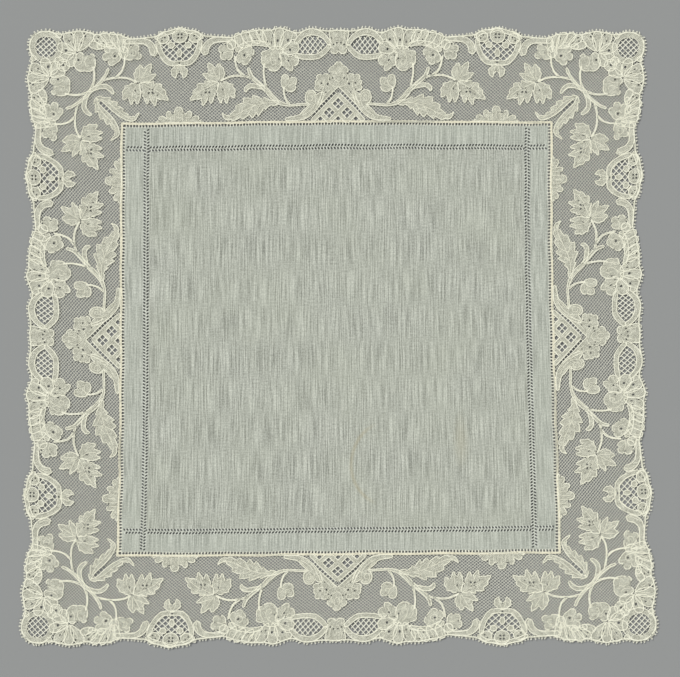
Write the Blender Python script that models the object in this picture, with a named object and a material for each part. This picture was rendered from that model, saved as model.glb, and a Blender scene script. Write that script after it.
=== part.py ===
"""Square lace-edged handkerchief, laid flat with its right side up.

Two sewn pieces: the linen centre with its folded hem, and the wide lace border that frames it.
Millimetres are used for the sizes and turned into metres where the curves are made.
The origin is the middle of the underside, +Z is up, +Y is the side that lies at the top.
"""
import math
import bpy

for old in list(bpy.data.objects):
    bpy.data.objects.remove(old)

# Sizes in millimetres
LINEN_HALF = 113.3          # middle of the linen to the edge that the lace is sewn to
HEM_DEPTH = 12.6            # folded edge, from the linen's edge to the inner row of stitches
LINEN_THICK = 1.0
HEM_THICK = 1.3             # two layers of linen
SEAM_GAP = 0.3
LACE_THICK = 1.1
LACE_START = 113.5          # the square that the lace's scallops are measured from
CORNER_REACH = 162.2        # the rounded corner's tip, along both sides
EDGE_STEP = 2.0             # spacing of the points along an outline

# The scalloped edge over half a side: distance from the middle of the side, reach beyond LACE_START
SCALLOP = [
    (0.0, 49.6), (5.0, 49.3), (15.0, 50.6), (22.0, 48.7), (32.0, 51.2), (37.0, 50.1), (42.0, 50.3),
    (50.0, 49.0), (58.0, 46.8), (70.0, 47.8), (78.0, 50.8), (86.0, 51.9), (93.0, 50.6), (99.0, 48.0),
    (110.0, 47.0), (118.0, 49.3), (124.0, 50.0), (128.0, 49.5), (138.0, 51.5), (149.0, 49.6),
    (154.0, 51.0), (158.0, 50.7), (CORNER_REACH, CORNER_REACH - LACE_START),
]

# How the cloth departs from a true square as it lies: powers of x and y, push in x, push in y
LIE_REACH = 165.0
LIE = [
    (0, 0, -0.0645, -1.8628), (0, 1, -1.11, 0.67), (0, 2, -0.31, 3.41), (0, 3, 2.21, -1.26),
    (0, 4, -0.60, -0.54), (1, 0, 0.67, 1.52), (1, 1, -4.15, -0.50), (1, 2, 2.99, -0.62),
    (1, 3, 0.07, 0.04), (2, 0, -1.56, -0.85), (2, 1, -1.41, -1.53), (2, 2, 2.62, -3.98),
    (3, 0, -1.32, -0.80), (3, 1, 1.38, -0.05), (4, 0, -0.48, 4.41),
]


def lie(x, y):
    """Where a point of the true square comes to rest in the cloth as it lies, mm."""
    u, v = x / LIE_REACH, y / LIE_REACH
    push_x = sum(row[2] * u ** row[0] * v ** row[1] for row in LIE)
    push_y = sum(row[3] * u ** row[0] * v ** row[1] for row in LIE)
    return x + push_x, y + push_y


def scallop_reach(along):
    """Reach of the lace beyond LACE_START at a distance from the middle of a side."""
    along = abs(along)
    for (a0, r0), (a1, r1) in zip(SCALLOP, SCALLOP[1:]):
        if along <= a1:
            ease = 0.5 - 0.5 * math.cos(math.pi * (along - a0) / (a1 - a0))
            return r0 + (r1 - r0) * ease
    return SCALLOP[-1][1]


def around(half, reach):
    """Points once around the cloth: four sides, each a row of points half long either way."""
    steps = int(round(2 * half / EDGE_STEP))
    points = []
    for side in range(4):
        turn_x, turn_y = [(0, 1), (1, 0), (0, -1), (-1, 0)][side]
        for step in range(steps):
            along = -half + 2 * half * step / steps
            out = reach(along)
            points.append(lie(turn_y * along + turn_x * out, -turn_x * along + turn_y * out))
    return points


def flat_solid(name, outlines, thick):
    """A flat solid standing on z = 0 from one outline, or from an outline and the hole in it."""
    curve = bpy.data.curves.new(name, "CURVE")
    curve.dimensions = "2D"
    curve.fill_mode = "BOTH"
    curve.extrude = thick / 2000
    for points in outlines:
        spline = curve.splines.new("POLY")
        spline.points.add(len(points) - 1)
        for point, (x, y) in zip(spline.points, points):
            point.co = (x / 1000, y / 1000, 0, 1)
        spline.use_cyclic_u = True
    drawn = bpy.data.objects.new(name + "_outline", curve)
    bpy.context.scene.collection.objects.link(drawn)
    bpy.context.view_layer.update()
    mesh = bpy.data.meshes.new_from_object(drawn)
    bpy.data.objects.remove(drawn)
    solid = bpy.data.objects.new(name, mesh)
    bpy.context.scene.collection.objects.link(solid)
    bpy.ops.object.select_all(action="DESELECT")
    bpy.context.view_layer.objects.active = solid
    solid.select_set(True)
    bpy.ops.object.mode_set(mode="EDIT")
    bpy.ops.mesh.select_all(action="SELECT")
    bpy.ops.mesh.remove_doubles(threshold=0.00002)
    bpy.ops.mesh.normals_make_consistent(inside=False)
    bpy.ops.transform.translate(value=(0, 0, thick / 2000))
    bpy.ops.object.mode_set(mode="OBJECT")
    return solid


def cloth_material(name, colour, roughness):
    material = bpy.data.materials.new(name)
    material.use_nodes = True
    shader = material.node_tree.nodes["Principled BSDF"]
    shader.inputs["Base Color"].default_value = (*colour, 1)
    shader.inputs["Roughness"].default_value = roughness
    return material


def into(solid, collection):
    for held in list(solid.users_collection):
        held.objects.unlink(solid)
    collection.objects.link(solid)


parts = bpy.data.collections.new("lace_handkerchief")
cutters = bpy.data.collections.new("lace_handkerchief_joined_in")
bpy.context.scene.collection.children.link(parts)
bpy.context.scene.collection.children.link(cutters)

# Linen centre: one flat sheet whose edge is folded double, all of it one piece of cloth
linen = flat_solid("linen_centre", [around(LINEN_HALF, lambda along: LINEN_HALF)], LINEN_THICK)
hem_in = LINEN_HALF - HEM_DEPTH
hem = flat_solid("linen_hem", [around(LINEN_HALF, lambda along: LINEN_HALF),
                               around(hem_in, lambda along: hem_in)], HEM_THICK)
into(linen, parts)
into(hem, cutters)
hem.hide_render = True
hem.display_type = "WIRE"
fold = linen.modifiers.new("folded_hem", "BOOLEAN")
fold.operation = "UNION"
fold.solver = "EXACT"
fold.object = hem
linen.data.materials.append(cloth_material("linen", (0.55, 0.57, 0.51), 0.85))

# Lace border: one continuous frame of lace, scalloped outside, sewn along the linen inside
lace_in = LINEN_HALF + SEAM_GAP
lace = flat_solid("lace_border", [around(CORNER_REACH, lambda along: LACE_START + scallop_reach(along)),
                                  around(lace_in, lambda along: lace_in)], LACE_THICK)
into(lace, parts)
lace.data.materials.append(cloth_material("lace", (0.60, 0.59, 0.48), 0.8))
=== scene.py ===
"""Lace-edged linen handkerchief laid flat, seen from straight above."""
import math
import bpy
import numpy as np
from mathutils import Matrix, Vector
from mathutils.geometry import delaunay_2d_cdt


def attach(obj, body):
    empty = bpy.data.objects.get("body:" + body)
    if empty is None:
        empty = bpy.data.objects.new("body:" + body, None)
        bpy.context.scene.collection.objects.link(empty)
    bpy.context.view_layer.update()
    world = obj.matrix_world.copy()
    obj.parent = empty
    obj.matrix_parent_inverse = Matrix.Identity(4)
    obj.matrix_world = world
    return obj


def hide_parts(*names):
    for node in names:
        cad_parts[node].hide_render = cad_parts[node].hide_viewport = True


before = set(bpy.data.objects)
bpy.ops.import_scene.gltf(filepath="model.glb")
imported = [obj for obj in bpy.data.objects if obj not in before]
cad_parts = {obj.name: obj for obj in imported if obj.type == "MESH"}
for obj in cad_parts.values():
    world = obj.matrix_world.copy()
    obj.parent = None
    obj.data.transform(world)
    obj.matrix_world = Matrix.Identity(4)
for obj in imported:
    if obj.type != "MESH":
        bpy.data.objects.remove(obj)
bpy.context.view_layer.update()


# ---------------------------------------------------------------------------------------------
# Linen centre: one piece of fine plain-weave linen. Its edge is folded under once and held by
# two rows of drawn-thread holes that run right across to the edges and cross at the corners.
# ---------------------------------------------------------------------------------------------
LINEN_HALF = 0.1133             # middle to the edge, where the lace is sewn on
LINEN_THICK = 0.00022
LINEN_LIFT = 0.00072            # middle of the cloth above the surface that it lies on
DRAWN_ROWS = (0.1010, 0.1027)   # the two rows of holes, from the middle
HOLE_PITCH = 0.00167
ROW_SHIFT = 0.0005              # the outer row's holes stand this far along from the inner row's
HOLE_SIZE = (0.00056, 0.00066)  # half length along the row, half width across it
HOLE_SLANT = 0.00024
HEM_LINE = sum(DRAWN_ROWS) / 2

WAVER = 0.00022                 # how far the threads stray from straight lines
SWELL = 0.00010                 # how high the flat cloth's gentle waves stand

# How the cloth departs from a true square as it lies: powers of x and y, push in x, push in y (mm)
LIE_REACH = 0.165
LIE = [
    (0, 0, -0.0645, -1.8628), (0, 1, -1.11, 0.67), (0, 2, -0.31, 3.41), (0, 3, 2.21, -1.26),
    (0, 4, -0.60, -0.54), (1, 0, 0.67, 1.52), (1, 1, -4.15, -0.50), (1, 2, 2.99, -0.62),
    (1, 3, 0.07, 0.04), (2, 0, -1.56, -0.85), (2, 1, -1.41, -1.53), (2, 2, 2.62, -3.98),
    (3, 0, -1.32, -0.80), (3, 1, 1.38, -0.05), (4, 0, -0.48, 4.41),
]


def lie(flat):
    """Points of the true square, in metres, moved to where they rest in the cloth as it lies."""
    x, y = flat[:, 0] / LIE_REACH, flat[:, 1] / LIE_REACH
    moved = flat.astype(float).copy()
    for px, py, push_x, push_y in LIE:
        term = x ** px * y ** py / 1000
        moved[:, 0] += push_x * term
        moved[:, 1] += push_y * term
    wave_x, wave_y = moved[:, 0] * 1000, moved[:, 1] * 1000
    moved[:, 0] += WAVER * np.sin(wave_y / 5.1 + 0.9) * np.sin(wave_x / 8.3)
    moved[:, 1] += WAVER * np.sin(wave_x / 6.3 + 2.1) * np.sin(wave_y / 7.7 + 0.4)
    return moved


def rise(flat):
    """Gentle waves of cloth that has been pressed and laid out, in metres."""
    x, y = flat[:, 0] * 1000, flat[:, 1] * 1000
    return SWELL * (np.sin(x / 19 + 0.6) * np.cos(y / 23 - 0.4) + 0.7 * np.sin((x + y) / 13.0)
                    + 0.5 * np.sin((x - 1.6 * y) / 9.5 + 1.1))


def new_piece(name, verts, faces):
    mesh = bpy.data.meshes.new(name)
    mesh.from_pydata([tuple(v) for v in verts], [], [tuple(int(k) for k in f) for f in faces])
    piece = bpy.data.objects.new(name, mesh)
    bpy.context.scene.collection.objects.link(piece)
    return piece


def pick(piece):
    bpy.ops.object.select_all(action="DESELECT")
    bpy.context.view_layer.objects.active = piece
    piece.select_set(True)


def note_cloth_place(piece, flat):
    """Keeps each point's place in the flat cloth, in metres, for the weave to follow."""
    place = piece.data.attributes.new("cloth_place", "FLOAT_VECTOR", "POINT")
    place.data.foreach_set("vector", np.column_stack([flat, np.zeros(len(flat))]).ravel())


def cloth_sheet(name, flat, faces, lift, thick):
    """A thin closed sheet from flat points and triangles, laid in its waves."""
    lain = lie(flat)
    piece = new_piece(name, np.column_stack([lain, lift + rise(flat)]), faces)
    note_cloth_place(piece, flat)
    pick(piece)
    bpy.ops.object.mode_set(mode="EDIT")
    bpy.ops.mesh.select_all(action="SELECT")
    bpy.ops.mesh.remove_doubles(threshold=0.000005)
    bpy.ops.mesh.normals_make_consistent(inside=False)
    bpy.ops.object.mode_set(mode="OBJECT")
    if piece.data.polygons[0].normal.z < 0:
        piece.data.flip_normals()
    body = piece.modifiers.new("thickness", "SOLIDIFY")
    body.thickness = thick
    body.offset = 0
    bpy.ops.object.modifier_apply(modifier=body.name)
    bpy.ops.object.shade_smooth_by_angle(angle=math.radians(40))
    return piece


def drawn_holes():
    """Outlines of the pierced holes: two slanting rows along every side, right across the cloth."""
    steps = int(LINEN_HALF / HOLE_PITCH)
    outlines = []
    for side in range(4):
        along_x, along_y = [(1, 0), (0, -1), (-1, 0), (0, 1)][side]
        for row, out in enumerate(DRAWN_ROWS):
            for step in range(-steps, steps + 1):
                along = step * HOLE_PITCH + row * ROW_SHIFT
                if abs(along) > LINEN_HALF - 0.0012:
                    continue
                if along_x and abs(abs(along) - HEM_LINE) < 0.0016:
                    continue
                slant = HOLE_SLANT * (1 if row else -1)
                corners = []
                for k in range(6):
                    turn = k * math.pi / 3 + 0.3
                    a = along + HOLE_SIZE[0] * math.cos(turn) + slant * math.sin(turn)
                    b = out + HOLE_SIZE[1] * math.sin(turn)
                    corners.append((a * along_x - b * along_y, a * along_y + b * along_x))
                outlines.append(corners)
    return outlines


def square_outline(half, step):
    count = int(round(2 * half / step))
    ticks = -half + 2 * half * np.arange(count) / count
    sides = [[(a, half) for a in ticks], [(half, -a) for a in ticks],
             [(-a, -half) for a in ticks], [(-half, a) for a in ticks]]
    return [p for side in sides for p in side]


def inside(points, shape):
    """Which points lie inside a closed outline."""
    shape = np.asarray(shape)
    x, y = points[:, 0], points[:, 1]
    near = np.flatnonzero((x > shape[:, 0].min()) & (x < shape[:, 0].max())
                          & (y > shape[:, 1].min()) & (y < shape[:, 1].max()))
    odd = np.zeros(len(near), bool)
    if len(near):
        px, py = x[near], y[near]
        for (x0, y0), (x1, y1) in zip(shape, np.roll(shape, -1, 0)):
            if y0 != y1:
                odd ^= ((y0 > py) != (y1 > py)) & (px < (x1 - x0) * (py - y0) / (y1 - y0) + x0)
    hit = np.zeros(len(points), bool)
    hit[near] = odd
    return hit


def filled(outlines, holes, inner_points, limit=None):
    """Triangles of the area covered by any outline and by none of the holes, from places in mm."""
    points, edges = [], []
    for outline in list(outlines) + list(holes) + ([limit] if limit is not None else []):
        first, count = len(points), len(outline)
        edges += [(first + k, first + (k + 1) % count) for k in range(count)]
        points += [Vector(p) for p in outline]
    points += [Vector(p) for p in inner_points]
    out = delaunay_2d_cdt(points, edges, [], 0, 1e-4)
    flat, faces = np.array([(v.x, v.y) for v in out[0]]), np.array(out[2])
    middles = flat[faces].mean(1)
    keep = np.zeros(len(faces), bool)
    for outline in outlines:
        keep |= inside(middles, outline)
    for hole in holes:
        keep &= ~inside(middles, hole)
    if limit is not None:
        keep &= inside(middles, limit)
    used, faces = np.unique(faces[keep], return_inverse=True)
    return flat[used], faces.reshape(-1, 3)


GRID_STEP = 0.0052
grid_ticks = np.arange(-LINEN_HALF + 0.004, LINEN_HALF - 0.003, GRID_STEP)
grid = [(x, y) for x in grid_ticks for y in grid_ticks
        if min(abs(abs(max(abs(x), abs(y))) - row) for row in DRAWN_ROWS) > 0.0015]
flat, faces = filled([1000 * np.array(square_outline(LINEN_HALF, 0.003))],
                     [1000 * np.array(hole) for hole in drawn_holes()], 1000 * np.array(grid))
linen = cloth_sheet("linen_centre_cloth", flat / 1000, faces, LINEN_LIFT, LINEN_THICK)


def new_finish(name):
    material = bpy.data.materials.new(name)
    material.use_nodes = True
    tree = material.node_tree
    return material, tree, tree.nodes["Principled BSDF"]


def cloth_place(tree):
    node = tree.nodes.new("ShaderNodeAttribute")
    node.attribute_name = "cloth_place"
    return node.outputs["Vector"]


def math_node(tree, operation, *values):
    node = tree.nodes.new("ShaderNodeMath")
    node.operation = operation
    for slot, value in enumerate(values):
        if isinstance(value, (int, float)):
            node.inputs[slot].default_value = value
        else:
            tree.links.new(value, node.inputs[slot])
    return node.outputs[0]


def weighted(tree, *shares):
    """The sum of several values, each times its share."""
    parts = [math_node(tree, "MULTIPLY", value, share) for value, share in shares]
    total = parts[0]
    for part in parts[1:]:
        total = math_node(tree, "ADD", total, part)
    return total


def mix_colour(tree, factor, a, b):
    node = tree.nodes.new("ShaderNodeMix")
    node.data_type = "RGBA"
    for slot, value in ((0, factor), (6, a), (7, b)):
        if isinstance(value, tuple):
            node.inputs[slot].default_value = (*value, 1)
        else:
            tree.links.new(value, node.inputs[slot])
    return node.outputs[2]


def ramp(tree, value, low, high):
    node = tree.nodes.new("ShaderNodeMapRange")
    node.clamp = True
    node.inputs["From Min"].default_value = low
    node.inputs["From Max"].default_value = high
    tree.links.new(value, node.inputs["Value"])
    return node.outputs[0]


def yarn_noise(tree, place, stretch, size, detail, low, high):
    """Noise from 0 to 1 whose grain is stretched by scaling the place first."""
    mapping = tree.nodes.new("ShaderNodeMapping")
    mapping.inputs["Scale"].default_value = stretch
    tree.links.new(place, mapping.inputs["Vector"])
    noise = tree.nodes.new("ShaderNodeTexNoise")
    noise.inputs["Scale"].default_value = size
    noise.inputs["Detail"].default_value = detail
    tree.links.new(mapping.outputs[0], noise.inputs["Vector"])
    return ramp(tree, noise.outputs["Fac"], low, high)


def distance_from(tree, place, centre, squash):
    """Distance in the flat cloth from one place, squashed to make an oval."""
    mapping = tree.nodes.new("ShaderNodeMapping")
    mapping.inputs["Location"].default_value = (-centre[0] * squash[0], -centre[1] * squash[1], 0)
    mapping.inputs["Scale"].default_value = (*squash, 1)
    tree.links.new(place, mapping.inputs["Vector"])
    length = tree.nodes.new("ShaderNodeVectorMath")
    length.operation = "LENGTH"
    tree.links.new(mapping.outputs[0], length.inputs[0])
    return length.outputs["Value"]


def bumped(tree, height, strength, distance):
    bump = tree.nodes.new("ShaderNodeBump")
    bump.inputs["Strength"].default_value = strength
    bump.inputs["Distance"].default_value = distance
    tree.links.new(height, bump.inputs["Height"])
    return bump.outputs[0]


TIDE_MARK = (0.0268, -0.066)    # middle of the ring that a water drop left
TIDE_RADIUS = 0.0205
BLOT = (0.0640, -0.0540)        # middle of the long faint blot


def linen_finish():
    """Uneven flax threads that run down the cloth, thin between them, and two old stains."""
    material, tree, shader = new_finish("fine_linen")
    place = cloth_place(tree)
    split = tree.nodes.new("ShaderNodeSeparateXYZ")
    tree.links.new(place, split.inputs[0])
    out = math_node(tree, "MAXIMUM", math_node(tree, "ABSOLUTE", split.outputs[0]),
                    math_node(tree, "ABSOLUTE", split.outputs[1]))
    hem = ramp(tree, out, 0.1024, 0.1030)
    slub = yarn_noise(tree, place, (1.0, 0.030, 1.0), 1750, 3.0, 0.36, 0.62)
    broad = yarn_noise(tree, place, (1.0, 0.05, 1.0), 380, 2.0, 0.33, 0.68)
    weft = yarn_noise(tree, place, (0.10, 1.0, 1.0), 1900, 2.0, 0.38, 0.62)
    fleck = yarn_noise(tree, place, (1.0, 0.6, 1.0), 1700, 1.0, 0.38, 0.62)
    cloud = yarn_noise(tree, place, (1.0, 1.0, 1.0), 26, 3.0, 0.35, 0.7)
    dense = weighted(tree, (slub, 0.56), (fleck, 0.24), (broad, 0.06), (weft, 0.14))

    body = mix_colour(tree, dense, (0.27, 0.28, 0.237), (0.635, 0.65, 0.56))
    body = mix_colour(tree, math_node(tree, "MULTIPLY", cloud, 0.35), body, (0.49, 0.51, 0.41))
    off_ring = math_node(tree, "SUBTRACT", distance_from(tree, place, TIDE_MARK, (1.0, 0.9)), TIDE_RADIUS)
    ring = ramp(tree, math_node(tree, "ABSOLUTE", off_ring), 0.0014, 0.0002)
    open_end = ramp(tree, split.outputs[0], 0.020, 0.013)
    tide = math_node(tree, "MULTIPLY", math_node(tree, "MULTIPLY", ring, open_end), 0.5)
    body = mix_colour(tree, tide, body, (0.44, 0.40, 0.27))
    blot = ramp(tree, distance_from(tree, place, BLOT, (1.0, 0.28)), 0.0048, 0.001)
    body = mix_colour(tree, math_node(tree, "MULTIPLY", blot, 0.35), body, (0.50, 0.47, 0.34))
    body = mix_colour(tree, math_node(tree, "MULTIPLY", hem, 0.18), body, (0.50, 0.535, 0.47))
    tree.links.new(body, shader.inputs["Base Color"])
    shader.inputs["Roughness"].default_value = 0.9
    shader.inputs["Specular IOR Level"].default_value = 0.15

    sheer = math_node(tree, "SUBTRACT", 0.36, math_node(tree, "MULTIPLY", hem, 0.08))
    thin = math_node(tree, "MULTIPLY", math_node(tree, "SUBTRACT", 1.0, dense), sheer)
    tree.links.new(math_node(tree, "SUBTRACT", 1.0, thin), shader.inputs["Alpha"])
    tree.links.new(bumped(tree, dense, 0.5, 0.00008), shader.inputs["Normal"])
    return material


linen.data.materials.append(linen_finish())
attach(linen, "root")
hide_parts("linen_centre")


# ---------------------------------------------------------------------------------------------
# Lace clothwork: the closely woven flowers, leaves, scrolls and medallion rings of bobbin lace
# in linen thread. One half of a side is drawn; the eight halves are its mirrored copies.
# ---------------------------------------------------------------------------------------------
LACE_START = 113.5              # mm from the middle to the lace's foot
LACE_LIFT = 0.00078
LACE_THICK = 0.00026
SIDES = ("top", "right", "bottom", "left")

# The scalloped edge over half a side (mm): distance from the middle of the side, reach
SCALLOP = np.array([
    (0.0, 49.6), (5.0, 49.3), (15.0, 50.6), (22.0, 48.7), (32.0, 51.2), (37.0, 50.1), (42.0, 50.3),
    (50.0, 49.0), (58.0, 46.8), (70.0, 47.8), (78.0, 50.8), (86.0, 51.9), (93.0, 50.6), (99.0, 48.0),
    (110.0, 47.0), (118.0, 49.3), (124.0, 50.0), (128.0, 49.5), (138.0, 51.5), (149.0, 49.6),
    (154.0, 51.0), (158.0, 50.7), (162.2, 48.7),
])


def smooth(points, closed=False, step=0.9):
    """A smooth curve through a few points; extra columns such as widths are carried along."""
    p = np.array(points, float)
    n = len(p)
    if closed:
        ring = [p[(i - 1) % n] for i in range(n + 3)]
    else:
        ring = [2 * p[0] - p[1]] + list(p) + [2 * p[-1] - p[-2]]
    rows = []
    for a, b, c, d in zip(ring, ring[1:], ring[2:], ring[3:]):
        cuts = max(2, int(round(np.hypot(*(c - b)[:2]) / step)))
        u = (np.arange(cuts) / cuts)[:, None]
        rows.append(0.5 * (2 * b + (c - a) * u + (2 * a - 5 * b + 4 * c - d) * u * u
                           + (3 * b - a - 3 * c + d) * u ** 3))
    if not closed:
        rows.append(p[-1:])
    return np.vstack(rows)


def normals_of(path, closed=False):
    if closed:
        run = np.roll(path, -1, 0) - np.roll(path, 1, 0)
    else:
        run = np.gradient(path, axis=0)
    run /= np.maximum(1e-9, np.hypot(run[:, 0], run[:, 1]))[:, None]
    return np.column_stack([-run[:, 1], run[:, 0]])


def band(*rows):
    """A strip along a curve. Each row is a place on its middle line and the strip's width there."""
    line = smooth(rows)
    path, half = line[:, :2], line[:, 2:3] / 2
    side = normals_of(path)
    left, right = path + side * half, path - side * half
    tip = path[-1] + np.array([side[-1, 1], -side[-1, 0]]) * half[-1] * 0.8
    root = path[0] - np.array([side[0, 1], -side[0, 0]]) * half[0] * 0.8
    return np.vstack([left, tip[None], right[::-1], root[None]])


def stem(*rows):
    """A strip so narrow that the cords along its two edges touch."""
    return band(*[(x, y, max(0.45, width - 0.55)) for x, y, width in rows])


def leaf(rows, pitch, left_teeth, right_teeth):
    """A serrated leaf along its midrib, root to tip: rows of place, left width and right width."""
    line = smooth(rows, step=0.58)
    path = line[:, :2]
    run = np.concatenate([[0], np.cumsum(np.hypot(*np.diff(path, axis=0).T))])
    saw = ((run / pitch + 0.35) % 1.0) - 0.45
    side = normals_of(path)
    left = path + side * (line[:, 2] * (1 + left_teeth * saw))[:, None]
    right = path - side * (line[:, 3] * (1 + right_teeth * saw))[:, None]
    return np.vstack([left, right[::-1]])


def petal(root, tip, width, swell=1.5, blunt=2.3):
    """A rounded petal from its root to its tip, widest nearer the tip when swell is over 1."""
    root, tip = np.array(root, float), np.array(tip, float)
    reach = np.hypot(*(tip - root))
    count = max(8, int(round(reach / 0.85)))
    v = 0.5 - 0.5 * np.cos(np.pi * np.arange(count + 1) / count)
    half = width / 2 * np.maximum(0, 1 - np.abs(2 * v ** swell - 1) ** blunt) ** (1 / blunt)
    across = np.array([-(tip - root)[1], (tip - root)[0]]) / reach
    spine = root + (tip - root) * v[:, None]
    return np.vstack([spine + across * half[:, None], (spine - across * half[:, None])[-2:0:-1]])


def disc(x, y, rx, ry=None, turn=0.0):
    ry = ry or rx
    count = max(7, int(round(2 * math.pi * max(rx, ry) / 0.9)))
    w = 2 * np.pi * np.arange(count) / count
    c, s = math.cos(math.radians(turn)), math.sin(math.radians(turn))
    ex, ey = rx * np.cos(w), ry * np.sin(w)
    return np.column_stack([x + ex * c - ey * s, y + ex * s + ey * c])


def across_corner(shape):
    """The same shape mirrored over the corner's diagonal."""
    return np.column_stack([LACE_START + shape[:, 1], shape[:, 0] - LACE_START])


def across_fan(shape):
    """The same shape mirrored over the middle of the fan medallion."""
    return np.column_stack([2 * FAN - shape[:, 0], shape[:, 1]])


def edge_reach(along):
    a, r = SCALLOP[:, 0], SCALLOP[:, 1]
    k = np.clip(np.searchsorted(a, along, side="right") - 1, 0, len(a) - 2)
    f = np.clip((along - a[k]) / (a[k + 1] - a[k]), 0, 1)
    return r[k] + (r[k + 1] - r[k]) * (0.5 - 0.5 * np.cos(np.pi * f))


FAN = 84.7                      # middle of the fan medallion, from the middle of the side

# The design is laid out in mm: distance along from the middle of a side, distance out from the
# lace's foot. The first motifs stand at the middle of the side, the last ones at the corner.
half_motifs = []                # groups of shapes, each group inside one outline
windows = []                    # latticed areas: outline, a crossing, half cell
holes = []                      # small open dots worked in the clothwork
ribs = []                       # raised veins and folds inside the motifs
open_strips = []                # ladders: narrow open strips crossed by short bars
bars = []


def motif(*shapes):
    """Shapes that lie over each other and share one outline."""
    half_motifs.append(list(shapes))


def apart(*shapes):
    """Shapes with an outline each."""
    half_motifs.extend([shape] for shape in shapes)


def eyelets(*rows):
    holes.extend(disc(*row) for row in rows)


def ladder(start, end, width, pitch):
    """An open strip between two places, crossed by short bars."""
    start, end = np.array(start, float), np.array(end, float)
    reach = np.hypot(*(end - start))
    run = (end - start) / reach
    side = np.array([-run[1], run[0]]) * width / 2
    open_strips.append(np.array([start + side, end + side, end - side, start - side]))
    for step in np.arange(pitch, reach - 0.4 * pitch, pitch):
        middle = start + run * step
        bars.append(middle + side * np.linspace(-1.4, 1.4, 5)[:, None])


# Cartouche: a diamond trellis under a lobed crown, with a scroll and a long foot
motif(band((0, 15.9, 2.1), (6, 9.9, 2.1), (13.6, 2.3, 2.1)), band((0, 6.2, 2.1), (2.4, 3.8, 2.1),
    (4.85, 1.35, 2.1)), band((0, 6.2, 2.1), (2.4, 8.6, 2.1), (4.85, 11.05, 2.1)), band((4.85, 1.35, 2.1),
    (7.3, 3.8, 2.1), (9.7, 6.2, 2.1)))
windows.append((np.array([(-0.6, 15.5), (0.6, 15.5), (13.2, 2.9), (13.2, 1.9), (-0.6, 1.9)]), (0, 11.05),
    (1.62, 1.62)))
ladder((0.2, 18.4), (13.9, 4.7), 1.8, 1.9)
motif(petal((0, 27.4), (0, 32.6), 4.4, 1), petal((0.8, 25.6), (4.3, 29.9), 4.4, 1.3), band((0, 24, 8.4),
    (0, 27, 8.2)), disc(4.4, 25, 1.5), np.array([(0, 19.95), (2.4, 17.55), (9.7, 10.25), (11.4, 10.8),
    (9.5, 13.6), (8.6, 17), (8.2, 21), (6, 24), (3.4, 26.4), (0, 27)]), disc(6.9, 24.3, 1.9, 2.3, 20),
    petal((7, 22.6), (11.3, 25.6), 3, 1.2), petal((7, 21.6), (12.2, 22), 3.2, 1.2),
    petal((6.6, 20), (12.4, 18.9), 3.4, 1.2))
ribs += [[(2.2, 28), (3, 26), (1.9, 23.6), (0, 22.2)], [(0.9, 29.6), (1.5, 28), (0.9, 26.2), (0, 25.4)],
    [(4.9, 26.4), (5.2, 23), (3.4, 20.6), (0.6, 19.6)], [(8, 23.4), (7.4, 20.4), (8.4, 17.4)],
    [(10.6, 21), (9.2, 20.2), (7.6, 19.8)], [(3.8, 18.6), (6.6, 16), (8.6, 12.6)]]
motif(band((8.4, 16.4, 2), (9.6, 15, 3.4), (11.4, 11.8, 4.4), (14.1, 8.5, 4.5), (17.3, 5.8, 4.3),
    (20.6, 3.8, 2.8), (27.6, 2.9, 1.5)), disc(14.6, 14.3, 2.9, 3.7, 12))
ribs += [[(15.2, 14.9), (14.2, 15.2), (13.5, 14.2), (13.7, 12.8), (14.7, 12.2), (15.9, 12.7),
    (16.2, 14.4), (15.5, 16.3), (13.9, 16.7), (12.4, 15.4), (11.9, 13), (12.6, 10.4), (15.2, 7.2),
    (19.4, 4.6)], [(9.6, 14.6), (10.6, 11.2), (12.9, 7.6), (16.4, 4.4)], [(14.6, 10.8), (16.4, 8.4),
    (19, 6)]]
eyelets((2.95, 24.5, 0.5), (4.6, 23.8, 0.42), (5.6, 21.3, 0.5, 0.75, 20), (8.9, 21.7, 0.5),
    (9.2, 18, 0.5, 0.65), (6.5, 17, 0.4), (11, 16.2, 0.4))

# Pair of fans at the middle of the edge, beside the oval medallion
motif(petal((0.3, 39), (1.9, 49.4), 4.6, 1.9), petal((2.8, 41.2), (4.6, 49.2), 2, 1.2),
    petal((1.4, 42.6), (2.6, 36.9), 4.4, 1.2), disc(0, 41.2, 2.4, 2.2), np.array([(-0.1, 39.5), (3, 38.6),
    (5.4, 40.5), (5.2, 43.5), (-0.1, 44.5)]))
eyelets((1.1, 42.6, 0.48), (2.8, 41.7, 0.48), (4.1, 45, 0.3, 0.8, 12), (0, 38.9, 0.4))
ribs += [[(3.2, 47.6), (2.9, 45), (2.3, 42.2), (1.2, 40.8)], [(5.2, 43), (4.2, 40.6), (2.6, 39.2)]]

# Oval medallion with its lattice
motif(band((4.9, 42, 2.2), (7.2, 45.3, 2.4), (10.2, 47.6, 2.8), (14.6, 48.6, 3.2), (18.6, 47.4, 2.8),
    (21.6, 44.9, 2.2), (23, 43, 1.8)))
motif(band((5, 41, 2.2), (7, 38.8, 2.4), (10.4, 36.1, 2.5), (14.2, 35.4, 2.5), (18.4, 35.6, 2.5),
    (22.6, 36.4, 2.3)))
windows.append((smooth([(6.1, 41.7), (9, 45), (12, 46.6), (16.5, 46.7), (20, 45), (22.3, 42.4),
    (21.6, 38.4), (18.6, 36.8), (13, 36.8), (9.6, 38.6)], True), (13.9, 41.7), (1.375, 1.7)))

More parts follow.
